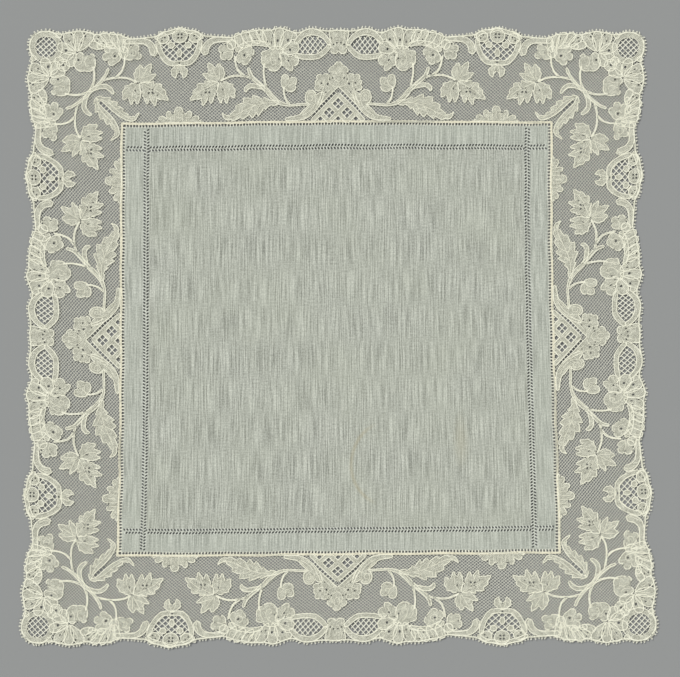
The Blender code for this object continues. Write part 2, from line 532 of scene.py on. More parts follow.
# Fan of petals, with a pointed petal and a round flower hanging from its hub
motif(petal((31, 39.4), (26, 49.2), 5.6, 1.7), disc(24, 46.4, 1.8))
motif(petal((32.4, 39.2), (31.8, 51), 5.2, 1.7))
motif(petal((34.8, 39.2), (39.2, 49.8), 5.8, 1.7))
motif(petal((30, 38.8), (21.4, 41.4), 6.4, 1.3))
motif(petal((30.6, 38.2), (24.8, 28.2), 5, 0.9, 1.7), disc(23.8, 33.8, 2.4, 2.8),
    petal((27.6, 35.6), (29.8, 31), 3.2, 1.2))
motif(disc(34.4, 33.4, 4.2, 5.2), disc(37.6, 34.2, 3.4, 4.3), disc(33.2, 39, 4, 2.2),
    petal((36, 38), (41, 36.6), 3, 1.2))
ribs += [[(33.4, 38.6), (35.4, 36.8), (36.2, 34.2), (35.3, 31.8), (33.6, 31.6), (33.2, 33.4),
    (34.4, 34.2)], [(38.8, 31.6), (39, 34.6), (37.6, 37)], [(31.2, 41.4), (28.6, 47.4)], [(33.6, 41.6),
    (33.6, 47.6)], [(36.4, 41.6), (39.4, 46.6)], [(29.4, 39.4), (24, 41.4)], [(28.4, 35.6), (25.8, 30.6)],
    [(25.4, 34.8), (23.6, 34)], [(29.2, 40.2), (25.6, 44.6), (24.6, 48)]]
eyelets((27.2, 44.6, 0.7), (32.7, 44.3, 0.62, 0.8), (38.3, 44, 0.6, 0.75), (26, 39.5, 0.62, 0.8),
    (26.9, 33.7, 0.62), (31.6, 34.6, 0.55), (21.4, 34.8, 0.6, 0.45), (42.1, 46.4, 0.65, 0.55),
    (23.3, 44, 0.5), (29.2, 46.9, 0.28, 1.3, 6), (35.5, 46.9, 0.28, 1.3, -8), (30.2, 43.4, 0.3, 0.8, 15),
    (36, 43.2, 0.3, 0.8, -15), (29.6, 36.2, 0.4))

# Clothwork along the edge from the fan to the second flower, and that flower
apart(petal((39, 42.8), (43.6, 49.8), 3.8, 1.4), petal((42.4, 42.6), (47.2, 49.8), 4.2, 1.3),
    petal((46.6, 42), (51.2, 49.4), 4.4, 1.3), petal((51.4, 40.8), (54.6, 48.4), 4, 1.4),
    disc(57.2, 42.6, 2.3, 2.6), band((38.2, 41.8, 2), (41, 42.6, 2.2), (45, 42.9, 2.4), (50, 41.9, 2.6),
    (54, 39.8, 3)))
motif(disc(49.9, 36.8, 3.7, 4.2), petal((50.6, 38.2), (45, 38.2), 4.2, 1.2),
    petal((52, 36), (48.6, 32.2), 3.8, 1.2), disc(52.6, 35.4, 2, 2.6), disc(48.4, 40, 2.2, 1.8))
motif(disc(59.6, 40.6, 3, 3.2), petal((57, 38.2), (63.2, 36.2), 4.2, 1.3),
    petal((58.6, 40), (64, 40.6), 4, 1.3), petal((57.2, 39.4), (59.2, 34.8), 3, 1.2))
ribs += [[(49.8, 38.8), (48.2, 37.6), (48.4, 35.8), (50.2, 34.9), (51.8, 36.2), (51.2, 38)],
    [(54.8, 38.4), (53.4, 41), (53.8, 44), (54.4, 46.8)], [(56.2, 38.8), (56.2, 41), (57.6, 43.6)],
    [(57.2, 38.6), (59.4, 39.2), (61.4, 38.2)], [(43.8, 44.2), (46.2, 48)], [(48, 43.6), (50.2, 47.8)],
    [(40.6, 44.4), (42.8, 48)]]
eyelets((50.3, 36.8, 0.65, 0.7), (54.9, 41.6, 0.4, 0.9), (60.3, 43, 0.5), (48.4, 48, 0.5),
    (51.9, 47, 0.5), (44.7, 44.9, 0.5), (42.8, 48.4, 0.42), (47.5, 43.9, 0.4),
    (56.1, 45.2, 0.35, 0.8, -15), (62.2, 38.6, 0.3, 0.5))

# Narrow band along the edge on both sides of the fan medallion, ending in hanging lobes
motif(band((57.4, 45.4, 2), (62, 45.6, 2.6), (67, 45, 2.9), (70.4, 42.4, 3.4), (71.6, 38.7, 3.6)))
motif(band((113, 45.2, 2.4), (108, 45.4, 2.9), (103.5, 45.3, 2.9), (100, 43.2, 3.4), (98.2, 38.8, 3.7)))
ribs += [[(70.6, 43), (71.9, 40.4), (71.5, 38)], [(99.6, 43.6), (97.9, 40.4), (98.3, 38)], [(58, 44.6),
    (63, 44.6), (67.4, 43.8)], [(112, 44.4), (107.6, 44.5), (103.4, 44.2)]]

# Fan medallion: a bowl-shaped ring, rosettes along its top, and solid dots in its lattice
motif(band((73.9, 45, 2.3), (74.4, 41.6, 2.3), (76.1, 37.4, 2.4), (78.9, 33.9, 2.5), (81.8, 33.1, 2.4),
    (84.7, 33.1, 2.4), (87.6, 33.1, 2.4), (90.5, 33.9, 2.5), (93.6, 37.4, 2.4), (95.6, 41.6, 2.3),
    (96.4, 45, 2.3)))
apart(disc(84.8, 47.6, 4, 3.7), disc(76.5, 46.8, 3.1, 2.8), disc(93.6, 46.4, 3, 2.6),
    disc(80.3, 42.6, 1.7, 1.6), disc(89.2, 42.8, 1.7, 1.6), disc(84.8, 38.5, 1.35, 2))
motif(band((72.8, 46.6, 1.6), (76.4, 49.2, 1.8), (80.6, 49.8, 1.9), (84.8, 51.2, 1.6), (89, 50, 1.9),
    (93.4, 48.8, 1.8), (97.4, 46.8, 1.6)))
windows.append((smooth([(74.9, 44.5), (75.7, 40.5), (78.4, 36.1), (81, 34.1), (84.7, 33.9), (88.4, 34.1),
    (91, 36.1), (94.3, 40.5), (95.2, 44.5), (91, 47.8), (84.7, 45), (79.2, 47.8)], True), (84.7, 40.4),
    (1.7, 1.62)))
rosette_eye = [(-0.9, -0.9), (0.9, -0.9), (-0.9, 0.9), (0.9, 0.9)]
holes += [disc(84.8 + x, 47.6 + y, 0.58) for x, y in rosette_eye]
holes += [disc(76.4 + x * 0.8, 46.9 + y * 0.9, 0.46) for x, y in rosette_eye]
holes += [disc(93.6 + x * 0.8, 46.3 + y * 0.9, 0.46) for x, y in rosette_eye]
eyelets((84.7, 33.4, 0.55), (97.7, 45.7, 0.45))

# Small two-legged leaf under the fan medallion
small_leg = leaf([(84.7, 31.6, 1, 0.6), (83.2, 30.2, 1.7, 1.6), (82.1, 28.2, 1.5, 1.7),
    (82.5, 25.6, 0.3, 0.3)], 2.4, 0.2, 0.4)
motif(small_leg, across_fan(small_leg), disc(84.7, 30.8, 2, 1.7))
ribs += [[(84.7, 32), (83.4, 29.8), (83, 27.6)], [(84.7, 32), (86, 29.8), (86.4, 27.6)]]

# Vine sprigs, one each side of the fan medallion: three serrated leaves from one hub
upper_leaf = [leaf([(106, 23.4, 1, 1), (106.2, 26.6, 2, 2.4), (105.6, 29.8, 2.1, 2.2),
    (105.4, 32.6, 0.4, 0.4)], 2.7, 0.3, 0.3), leaf([(105.6, 23.4, 1, 1), (103.4, 26.8, 2.6, 2.2),
    (101.5, 30, 1.8, 2), (99.8, 33.2, 0.3, 0.3)], 2.9, 0.45, 0.3), leaf([(105.2, 23.8, 0.8, 0.8),
    (101.4, 25.4, 1.8, 2), (97.2, 27.4, 0.3, 0.3)], 2.6, 0.3, 0.45)]
long_leaf = [leaf([(105.6, 22.4, 0.6, 0.6), (102.6, 20.6, 3.4, 2.6), (99.2, 19, 3.8, 4.2),
    (95.4, 17, 2.8, 3.6), (90.7, 13.9, 0.2, 0.3)], 3.9, 0.35, 0.5), leaf([(100.6, 19.6, 1.2, 1.2),
    (98.8, 15.6, 1.8, 2), (97.4, 10.9, 0.3, 0.5)], 3, 0.3, 0.3), leaf([(103.2, 20.4, 1.2, 1.2),
    (102.2, 16, 1.5, 1.7), (101.7, 11.8, 0.3, 0.5)], 3, 0.3, 0.3)]
corner_leaf = [leaf([(106.8, 22.6, 1, 1), (106.6, 17, 2, 1.6), (106.9, 11.9, 0.4, 0.4)], 3.2, 0.3, 0.25),
    leaf([(107.4, 22, 1, 1), (109.4, 17, 1.9, 2), (110.1, 11.7, 0.3, 0.4)], 3.2, 0.3, 0.3),
    leaf([(107.4, 22.2, 1.2, 1), (111.2, 18.6, 3, 2.2), (114, 14.6, 0.5, 0.5)], 3, 0.35, 0.3)]
sprig_ribs = [[(105.4, 23), (101, 20.6), (96.6, 18.6), (93, 15.8)], [(101.4, 20.2), (99.4, 16.4),
    (98.2, 13)], [(98, 19.4), (96.4, 21.8)], [(106.6, 22.4), (109, 18.4), (109.6, 14)], [(105.6, 24),
    (103.6, 27.4), (101.6, 31)], [(106, 24.4), (105.8, 30.6)], [(104.4, 25.4), (100, 27)]]
for sprig in (upper_leaf, long_leaf, corner_leaf):
    half_motifs += [sprig, [across_fan(shape) for shape in sprig]]
ribs += sprig_ribs + [[(2 * FAN - x, y) for x, y in rib] for rib in sprig_ribs]
cross_holes = [disc(99.9 + x, 18.6 + y, 0.46, 0.75, t) for x, y, t in ((-1, 1, 45), (1, 1, -45),
    (-1, -1, -45), (1, -1, 45))]
cross_holes += [disc(108, 19, 0.3, 0.9, -25), disc(104.7, 18.4, 0.35, 1.8, -8),
    disc(96.4, 16.4, 0.3, 0.5)]
holes += cross_holes + [across_fan(shape) for shape in cross_holes]

# Palmette standing on the foot under the fan medallion
motif(petal((84.7, 1.6), (84.8, 10.2), 4.6, 1.2), petal((80.8, 1.6), (79, 8), 3, 1.2),
    petal((88.6, 1.6), (90.2, 7.8), 3, 1.2), petal((79.6, 1.6), (74.4, 4.8), 3, 1.1),
    petal((89.8, 1.6), (95, 4.8), 3, 1.1), petal((82.2, 2), (81.6, 6.6), 2.4, 1.1),
    petal((87.2, 2), (87.8, 6.6), 2.4, 1.1), band((73.4, 2.2, 1.2), (80, 2.6, 2), (84.7, 2.8, 2.6),
    (89.4, 2.6, 2), (96, 2.2, 1.2)))
ribs += [[(82.7, 2.4), (82.6, 6.4)], [(86.7, 2.4), (86.8, 6.4)], [(80.6, 2.4), (80.4, 5.2)], [(88.8, 2.4),
    (89, 5.2)], [(84.7, 3.6), (84.7, 7.6)]]

# Stems of the inner half, the heart-shaped bud and the hooked leaf
motif(petal((27.4, 18), (23, 24.4), 4.6, 0.9), petal((28.8, 18.6), (28.2, 26.2), 4.2, 1.3),
    disc(25.4, 19.4, 2.8, 2.3))
ribs += [[(28.6, 19.8), (26.8, 21.2), (26.2, 23.2), (26.9, 24.2)], [(26.6, 20.6), (24.9, 20.6),
    (24.7, 22.2)]]
motif(stem((15.8, 10.6, 1.4), (20, 10.4, 1.4), (26, 10.1, 1.5), (31, 11.4, 2.2), (35, 14.4, 2.7),
    (37.8, 17.6, 2.6), (39, 20.2, 1.6)), stem((26.2, 10.8, 1.4), (28.2, 13.6, 1.1), (29.1, 17.2, 1),
    (29, 19.6, 0.9)), stem((38.6, 19, 1.6), (39.5, 23.6, 1.1), (39.9, 28, 1), (39.5, 32, 1)),
    stem((38, 17.6, 2.2), (42, 21.6, 2), (45.6, 24.8, 2.1), (47.4, 27.8, 2), (47.8, 29.8, 1.8)),
    stem((46, 24.8, 1.4), (50, 25.8, 1.3), (55, 26.1, 1.2), (59, 25.2, 1.1), (62.4, 23.6, 1.1)),
    stem((49.6, 25.6, 1.4), (53, 28.2, 1.2), (54.8, 32, 1.1), (55.5, 36.4, 1.1)))
ribs += [[(31, 11.6), (35, 14.8), (38.4, 18.8), (42.2, 22.2), (46, 26)]]
motif(band((40, 19.6, 1.6), (43.6, 20.6, 2), (47, 20.8, 2.1), (49.2, 19.4, 1.9), (49.4, 18, 1.1)))

# Acanthus leaf lying along the foot
motif(leaf([(32, 11.3, 0.8, 0.8), (37, 11.8, 1.6, 1.8), (41.4, 11.2, 3.6, 4), (46.2, 9.8, 5, 5),
    (51.2, 7.4, 3.8, 3.4), (56.2, 4.9, 1.5, 1.9), (59.6, 4.2, 1, 1), (62, 6.6, 0.2, 0.2)], 4.7, 0.55,
    0.6))
ribs += [[(34, 11.6), (39, 11.6), (44, 10.4), (49.6, 8), (55, 5.4), (59.6, 4.4)], [(39.6, 11.6),
    (43.6, 13.4)], [(44.6, 10.4), (48.4, 11.6)], [(41.4, 11.2), (43.2, 8)], [(45.6, 9.8), (48, 5.6)],
    [(50.4, 7.8), (52.6, 5.8)]]

# Flower beside the corner's edge, with its stem and the clothwork behind it
motif(disc(109.2, 39.3, 3, 3.5), petal((110.6, 37.4), (105, 37.4), 3.2, 1.2),
    petal((107.8, 36.8), (114, 37.2), 3.4), petal((108.6, 38.6), (107.6, 43.4), 3.4, 1.2))
motif(disc(119.2, 37.6, 3.4, 3.8), petal((119, 37.2), (125.6, 36.8), 3.8, 1.3),
    petal((117.4, 37), (122.2, 33), 3.6), petal((119.4, 39.2), (124.4, 41.6), 3.4, 1.2))
apart(disc(114.6, 39.4, 2.4, 3.2), petal((114.2, 39), (112.2, 47.6), 3.4, 1.5),
    petal((115, 39.4), (116.6, 49.2), 3.4, 1.5), petal((117, 41.4), (121, 50), 4.2, 1.5),
    petal((120.4, 42.8), (125.8, 50), 4.4, 1.4), petal((123.4, 42.6), (129.8, 48.6), 4.2, 1.4),
    petal((126, 41.6), (132.6, 44.6), 3.8, 1.3))
motif(disc(121.2, 43, 2.4, 1.7, 10), disc(126.4, 42.6, 2, 1.5))
ribs += [[(110.2, 38.2), (108.6, 37.6), (107.8, 39), (108.6, 40.6), (110.2, 40.8)], [(117.2, 39.2),
    (118, 36.6), (120, 36), (120.8, 38), (119.6, 39.4)], [(113.6, 46.2), (113.6, 43.2), (114.3, 40)],
    [(115.4, 46.8), (115, 43.4), (115.6, 40.2)], [(118.2, 43.6), (120.4, 48)], [(122, 44.4),
    (124.9, 48.4)], [(125.2, 43.8), (128.6, 47.2)]]
eyelets((119.3, 37.4, 0.7, 0.65), (118.2, 46.8, 0.45, 0.8), (121.8, 47.4, 0.4, 0.9, -10),
    (125.2, 44.4, 0.55, 0.45), (127.9, 47.6, 0.5), (128.5, 45.6, 0.45), (116.8, 43.6, 0.35, 0.8),
    (114.5, 43.4, 0.26, 1, 2), (110.4, 38.9, 0.35))

# Corner fan: petals to the edge, a heart-shaped flower, and the body across the diagonal
apart(petal((138, 40.4), (131.4, 50), 5.4, 1.7), petal((138.6, 40.2), (138.4, 51.2), 5.2, 1.6),
    petal((140.2, 40.2), (144.8, 50.2), 5.6, 1.7), petal((139.6, 39.6), (149.2, 43), 5.4, 1.4))
motif(disc(133, 33.6, 3.9, 4.4), disc(136.4, 33.8, 4, 4.6), petal((133.6, 33.4), (130.4, 38.4), 3.6, 1.2),
    petal((135.6, 33.4), (138, 39.4), 4, 1.2))
apart(petal((140, 39.4), (142.9, 31.8), 4.6, 1.4), petal((140.6, 38.8), (147.6, 35.4), 4.2, 1.3),
    disc(145.9, 32.4, 3.3, 3.3), disc(148.2, 34.7, 2.3, 2.3))
ribs += [[(133.4, 37.4), (134.6, 34.6), (134, 32), (132.6, 32.4)], [(136, 37.6), (136.2, 34.4),
    (137.6, 32.6)], [(136.6, 42.6), (133.4, 47.6)], [(138.9, 42.6), (138.8, 48.2)], [(141, 42.4),
    (143.8, 47.6)], [(141.4, 40.4), (146.4, 42.2)], [(144.2, 33.6), (145.2, 31.4), (147.2, 31.2),
    (148.2, 33), (147.2, 34.8)]]
eyelets((132.5, 44.6, 0.7, 0.75), (137.3, 44.8, 0.65, 0.75), (143.2, 46, 0.7), (144.8, 40.6, 0.78),
    (143.8, 35, 0.85, 0.6, 20), (138.1, 35.5, 0.62), (146.1, 32.6, 0.65), (134.6, 38, 0.45, 0.6),
    (134.9, 48.4, 0.5, 0.65), (142.4, 49.4, 0.5), (141, 43.8, 0.3, 0.9, -25), (135.8, 44.2, 0.3, 0.9, 25),
    (147.8, 45.4, 0.55), (131, 41.6, 0.4), (140, 36, 0.4))

# Corner medallion and its ring
MEDALLION = (155.3, 41.8)
ring_inner = disc(*MEDALLION, 6)
motif(disc(*MEDALLION, 8.6))
holes.append(ring_inner)
ribs.append(np.vstack([ring_inner, ring_inner[:1]]))
windows.append((disc(*MEDALLION, 6.1), MEDALLION, (1.5, 1.5)))
motif(petal((149.6, 47.2), (148.2, 49.8), 2.6, 1))

# Stems of the corner: heart stem, branch, curled leaf, and the stem to the sprig and flower
motif(stem((130.3, 31.6, 1.1), (129.7, 27.4, 1.1), (130.2, 23.2, 1.2), (131.6, 19.6, 1.6), (133, 17, 2.2),
    (134.9, 13.6, 1.6)), stem((132.4, 18, 2.2), (128.6, 21.4, 1.8), (125.4, 25, 1.7), (123.2, 28.6, 1.7),
    (122.5, 30.6, 1.5)), stem((107.6, 23.4, 1.1), (110.6, 25.2, 1.1), (115, 26, 1.1), (119.6, 25.9, 1.1),
    (124.4, 25, 1.3)), stem((118.2, 26.2, 1.2), (115.8, 28.8, 1.1), (114.3, 32.6, 1), (113.9, 36.8, 1)))
ribs += [[(132.6, 17.8), (128.8, 21.2), (125.6, 24.8), (123.4, 28.4)]]
motif(band((131.4, 19, 1.6), (127.4, 21, 2), (123.4, 21.4, 2.2), (120.8, 19.8, 2), (119.5, 17.8, 1.2)))

# Leaf pair lying along the corner's diagonal, with a ladder between the two
motif(leaf([(128.6, 15.3, 0.3, 0.4), (125.2, 14.2, 0.8, 1.8), (121.7, 12.2, 1.7, 2.5),
    (118.4, 9.5, 2.1, 2.4), (115.2, 6.6, 1.7, 1.8), (112.2, 4.5, 1.2, 1.2), (109, 3.9, 0.9, 1.1),
    (106, 7, 0.2, 0.2)], 4.2, 0, 0.85))
ribs += [[(126.4, 14.8), (121.6, 12.4), (116.6, 7.8), (112, 4.7), (108.6, 4)], [(121.4, 12.4),
    (119.4, 12.8)], [(118, 9.4), (116.2, 9.6)]]
ladder((LACE_START + 6, 6), (LACE_START + 14.2, 14.2), 2.05, 2.05)

# Foot and edge: the narrow cloth band along the linen and the one along the scallops
foot_band = np.array([(-0.2, 1.0), (LACE_START + 1.0, 1.0), (LACE_START + 2.1, 2.1), (-0.2, 2.1)])
edge_along = np.append(np.arange(0.0, 160.5, 0.95), SCALLOP[-1, 0])
edge_line = np.column_stack([edge_along, edge_reach(edge_along)])
edge_band = np.vstack([edge_line, (edge_line - [0.0, 1.0])[::-1]])


def in_half(shape, over=0.3):
    return (shape[:, 0] > -over).any() and (shape[:, 0] < LACE_START + shape[:, 1] + over).any()


def across_middle(shape):
    return shape * [-1, 1]


def with_neighbours(shapes):
    """The shapes of one half with those of the mirrored halves that reach into it."""
    mirrored = [mirror(shape) for mirror in (across_corner, across_middle) for shape in shapes]
    return list(shapes) + [shape for shape in mirrored if in_half(shape)]


shapes_here = with_neighbours([shape for group in half_motifs for shape in group]) + [foot_band, edge_band]
strips_here = with_neighbours(open_strips)
holes_here = with_neighbours(holes) + strips_here
windows_here = with_neighbours([window for window, middle, half_cell in windows])


def to_cloth(side, hand, points):
    """Places of one half of a side, in mm, put into the whole true square in metres."""
    along, out = hand * points[:, 0], LACE_START + points[:, 1]
    turned = [(along, out), (out, -along), (-along, -out), (-out, along)][side]
    return np.column_stack(turned) / 1000


def both_halves(side, shapes):
    return [to_cloth(side, hand, shape) for hand in (-1, 1) for shape in shapes]


PAST_CORNER = 166.0             # mm, beyond the corner's tip
half_limit = np.array([(0.0, -1.0), (LACE_START - 1.0, -1.0), (PAST_CORNER, PAST_CORNER - LACE_START),
                       (0.0, 55.0)])
mesh_ticks = [(a, r) for a in np.arange(1.2, 163, 3.0) for r in np.arange(2.6, 51, 3.0)
              if a < LACE_START + r - 1]
cloth_flat, cloth_faces = filled(shapes_here, holes_here, mesh_ticks, half_limit)


def lace_thread_group():
    """Thread lace on the bias: painted highlight on the tops of the threads, painted shade between them,
    and thinner between them.
    """
    group = bpy.data.node_groups.new("lace_thread", "ShaderNodeTree")
    sockets = (("Place", "INPUT", "NodeSocketVector"), ("Light", "INPUT", "NodeSocketColor"),
               ("Shade", "INPUT", "NodeSocketColor"), ("Openness", "INPUT", "NodeSocketFloat"),
               ("Colour", "OUTPUT", "NodeSocketColor"), ("Cover", "OUTPUT", "NodeSocketFloat"),
               ("Normal", "OUTPUT", "NodeSocketVector"))
    for name, way, kind in sockets:
        group.interface.new_socket(name, in_out=way, socket_type=kind)
    given = group.nodes.new("NodeGroupInput").outputs
    result = group.nodes.new("NodeGroupOutput").inputs
    turn = group.nodes.new("ShaderNodeVectorRotate")
    turn.rotation_type = "Z_AXIS"
    turn.inputs["Angle"].default_value = math.radians(45)
    group.links.new(given["Place"], turn.inputs["Vector"])
    threads = []
    for direction, size in (("X", 340), ("Y", 390)):
        wave = group.nodes.new("ShaderNodeTexWave")
        wave.bands_direction = direction
        wave.inputs["Scale"].default_value = size
        wave.inputs["Distortion"].default_value = 2.0
        wave.inputs["Detail"].default_value = 1.0
        group.links.new(turn.outputs[0], wave.inputs["Vector"])
        threads.append((wave.outputs["Fac"], 0.15))
    patch = yarn_noise(group, given["Place"], (1.0, 1.0, 1.0), 300, 3.0, 0.36, 0.66)
    fine = yarn_noise(group, given["Place"], (1.0, 1.0, 1.0), 1300, 2.0, 0.36, 0.64)
    tone = weighted(group, *threads, (patch, 0.25), (fine, 0.45))
    # painted light: the weave's tone mixes the Shade colour (painted shade) up to the Light colour (painted
    # highlight)
    group.links.new(mix_colour(group, tone, given["Shade"], given["Light"]), result["Colour"])
    gaps = math_node(group, "MULTIPLY", math_node(group, "SUBTRACT", 1.0, tone), given["Openness"])
    group.links.new(math_node(group, "SUBTRACT", 1.0, gaps), result["Cover"])
    group.links.new(bumped(group, tone, 0.6, 0.00012), result["Normal"])
    return group


lace_thread = lace_thread_group()


# light and shade are a lit and a shaded copy of one thread colour: painted highlight and painted shade
def lace_finish(name, light, shade, roughness, openness=None):
    material, tree, shader = new_finish(name)
    thread = tree.nodes.new("ShaderNodeGroup")
    thread.node_tree = lace_thread
    thread.inputs["Light"].default_value = (*light, 1)
    thread.inputs["Shade"].default_value = (*shade, 1)
    tree.links.new(cloth_place(tree), thread.inputs["Place"])
    tree.links.new(thread.outputs["Colour"], shader.inputs["Base Color"])
    tree.links.new(thread.outputs["Normal"], shader.inputs["Normal"])
    if openness:
        thread.inputs["Openness"].default_value = openness
        tree.links.new(thread.outputs["Cover"], shader.inputs["Alpha"])
    shader.inputs["Roughness"].default_value = roughness
    shader.inputs["Specular IOR Level"].default_value = 0.2
    shader.inputs["Sheen Weight"].default_value = 0.2
    return material


# first colour: painted highlight of the cream thread; second: painted shade of the same thread
clothwork_finish = lace_finish("lace_clothwork", (0.785, 0.777, 0.632), (0.36, 0.356, 0.284), 0.85,
                               openness=0.50)
for side, side_name in enumerate(SIDES):
    flat = np.vstack(both_halves(side, [cloth_flat]))
    both = np.vstack([cloth_faces, cloth_faces + len(cloth_flat)])
    piece = cloth_sheet("lace_clothwork_" + side_name, flat, both, LACE_LIFT, LACE_THICK)
    piece.data.materials.append(clothwork_finish)
    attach(piece, "root")
    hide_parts("lace_border")


# ---------------------------------------------------------------------------------------------
# Outline cords: the raised linen thread that runs round every petal, leaf, stem and ring, laid
# on the clothwork's edge as the lace is worked, and the finer raised ribs inside the leaves.
# ---------------------------------------------------------------------------------------------
CORD_WIDTH = 0.55               # mm
CORD_HEIGHT = 0.42
CORD_LIFT = 0.94                # middle of the cord above the surface that the lace lies on
VEIN_WIDTH = 0.42               # raised ribs inside the leaves
VEIN_HEIGHT = 0.36
HAND_WANDER = 0.03              # how far hand-laid thread strays


def runs_outside(path, others, closed=True):
    """Stretches of an outline that lie outside the other shapes, each a row of points."""
    keep = np.ones(len(path), bool)
    for other in others:
        keep &= ~inside(path, other)
    if keep.all():
        return [np.vstack([path, path[:1]])] if closed else [path]
    start = int(np.argmin(keep)) if closed else 0
    order = np.roll(np.arange(len(path)), -start) if closed else np.arange(len(path))
    runs, now = [], []
    for k in order:
        if keep[k]:
            now.append(path[k])
            continue
        runs.append(now)
        now = []
    return [np.array(run) for run in runs + [now] if len(run) > 2]


chance = np.random.default_rng(41)      # the small unevenness of hand-laid thread, alike on every run


def tubes(runs, width, height, lift, sides, wander=0.0):
    """Threads along runs of places in the true square (metres), as one mesh; wander in mm."""
    verts, faces, places = [], [], []
    turn = 2 * np.pi * (np.arange(sides) + 0.5) / sides
    base = 0
    for run in runs:
        lain = lie(run)
        if wander:
            lain[1:-1] += chance.normal(0, wander / 1000, (len(run) - 2, 2))
        plump = 1 + chance.normal(0, 4.0 * wander, (len(run), 1))
        side = normals_of(lain) * plump
        up = lift / 1000 + rise(run)
        rings = np.empty((len(run), sides, 3))
        rings[:, :, :2] = lain[:, None, :] + side[:, None, :] * (np.cos(turn) * width / 2000)[None, :, None]
        rings[:, :, 2] = up[:, None] + (np.sin(turn) * height / 2000)[None, :]
        verts.append(rings.reshape(-1, 3))
        places.append(np.repeat(run, sides, 0))
        k = np.arange(len(run) - 1)[:, None] * sides + np.arange(sides)[None, :] + base
        j = np.arange(len(run) - 1)[:, None] * sides + (np.arange(sides)[None, :] + 1) % sides + base
        faces.append(np.stack([k, j, j + sides, k + sides], -1).reshape(-1, 4))
        ends = base + (len(run) - 1) * sides
        faces += [np.array([base + np.arange(sides)[::-1]]), np.array([ends + np.arange(sides)])]
        base += len(run) * sides
    return np.vstack(verts), [tuple(f) for block in faces for f in block], np.vstack(places)


def thread_piece(name, runs, width, height, lift, sides, finish, wander=0.0):
    verts, faces, places = tubes(runs, width, height, lift, sides, wander)
    piece = new_piece(name, verts, faces)
    note_cloth_place(piece, places)
    pick(piece)
    bpy.ops.object.shade_smooth_by_angle(angle=math.radians(50))
    piece.data.materials.append(finish)
    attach(piece, "root")
    return piece


# each pair is a painted highlight and a painted shade of one thread colour
cord_finish = lace_finish("lace_outline_cord", (0.90, 0.882, 0.725), (0.69, 0.678, 0.54), 0.75)
vein_finish = lace_finish("lace_vein", (0.83, 0.815, 0.668), (0.61, 0.60, 0.48), 0.8)
half_runs = []
for group in half_motifs:
    for k, shape in enumerate(group):
        half_runs += runs_outside(shape, group[:k] + group[k + 1:])
half_runs.append(edge_line - [0.0, 0.45])
rib_runs = [smooth(rib, step=0.9) for rib in ribs]


def kept_in_half(run):
    """A run cut at the corner's diagonal and at the middle of the side."""
    keep = (run[:, 0] >= -0.4) & (run[:, 0] <= LACE_START + run[:, 1] + 0.4)
    parts = np.split(np.arange(len(run)), np.flatnonzero(np.diff(keep.astype(int))) + 1)
    return [run[p] for p in parts if keep[p[0]] and len(p) > 1]


half_runs = [part for run in half_runs for part in kept_in_half(run)]
rib_runs = [part for run in rib_runs + bars for part in kept_in_half(run)]
for side, side_name in enumerate(SIDES):
    thread_piece("lace_cords_" + side_name, both_halves(side, half_runs), CORD_WIDTH,
                              CORD_HEIGHT, CORD_LIFT, 5, cord_finish, HAND_WANDER)
    thread_piece("lace_veins_" + side_name, both_halves(side, rib_runs), VEIN_WIDTH,
                              VEIN_HEIGHT, CORD_LIFT, 4, vein_finish, HAND_WANDER)


# ---------------------------------------------------------------------------------------------
# Lattice fillings: the open grid of plaited threads inside the trellis, the oval, the fan and
# the corner medallions, worked from rim to rim and a little below the raised outlines.
# ---------------------------------------------------------------------------------------------
PLAIT_SIZE = (0.54, 0.30)       # mm, width and height
PLAIT_LIFT = 0.76

lattice_runs = []
for window, middle, half_cell in windows:
    middle, direction = np.array(middle), np.array(half_cell)
    reach = int(np.ptp(window, axis=0).sum() / direction.min()) + 2
    for lean in (1, -1):
        for k in range(-reach, reach + 1):
            start = middle + np.array([2 * direction[0] * k, 0.0])
            line = start + np.arange(-reach, reach + 0.5, 0.5)[:, None] * direction * [1, lean]
            within = np.flatnonzero(inside(line, window))
            if len(within) > 1:
                lattice_runs += kept_in_half(line[within])
lattices = [thread_piece("lace_lattice_" + side_name, both_halves(side, lattice_runs), *PLAIT_SIZE,
                         PLAIT_LIFT, 4, cord_finish, HAND_WANDER)
            for side, side_name in enumerate(SIDES)]


# ---------------------------------------------------------------------------------------------
# Net ground: the fine diagonal mesh of twisted threads between the motifs, worked in one with
# them. Its cells are wider along the side and become square towards the corner.
# ---------------------------------------------------------------------------------------------
NET_ROW = 0.84                  # mm between crossings, across the lace
NET_COLUMN = 0.97               # mm between crossings along the middle of a side
NET_COUNT = 61                  # rows of crossings, enough to reach past the edge
NET_CHANGE = 30.0               # mm from the corner square over which the cells change shape
NET_WIDTH = (0.31, 0.24)        # threads of the two directions
NET_HEIGHT = 0.24
NET_LIFT = (0.75, 0.69)         # one direction lies over the other
NET_STRAY = 0.07                # how far a crossing is out of place

inner = [LACE_START]
while inner[0] > 0:
    spread = min(1.0, (LACE_START - inner[0]) / NET_CHANGE)
    inner.insert(0, inner[0] - NET_ROW - (NET_COLUMN - NET_ROW) * spread)
inner = LACE_START * (np.array(inner) - inner[0]) / (LACE_START - inner[0])
columns = np.append(inner, LACE_START + NET_ROW * np.arange(1, NET_COUNT))

rows = np.arange(0, NET_COUNT) * NET_ROW
node_a, node_r = np.meshgrid(columns, rows, indexing="ij")
places = np.column_stack([node_a.ravel(), node_r.ravel()])
solid = np.zeros(len(places), bool)
for shape in shapes_here + windows_here + strips_here:
    solid |= inside(places, shape)
solid |= places[:, 1] < 0.9
solid |= places[:, 1] > edge_reach(places[:, 0]) - 0.3
beyond = places[:, 0] > LACE_START + places[:, 1] + 0.01
free = (~solid).reshape(node_a.shape)
whole = (~beyond).reshape(node_a.shape)


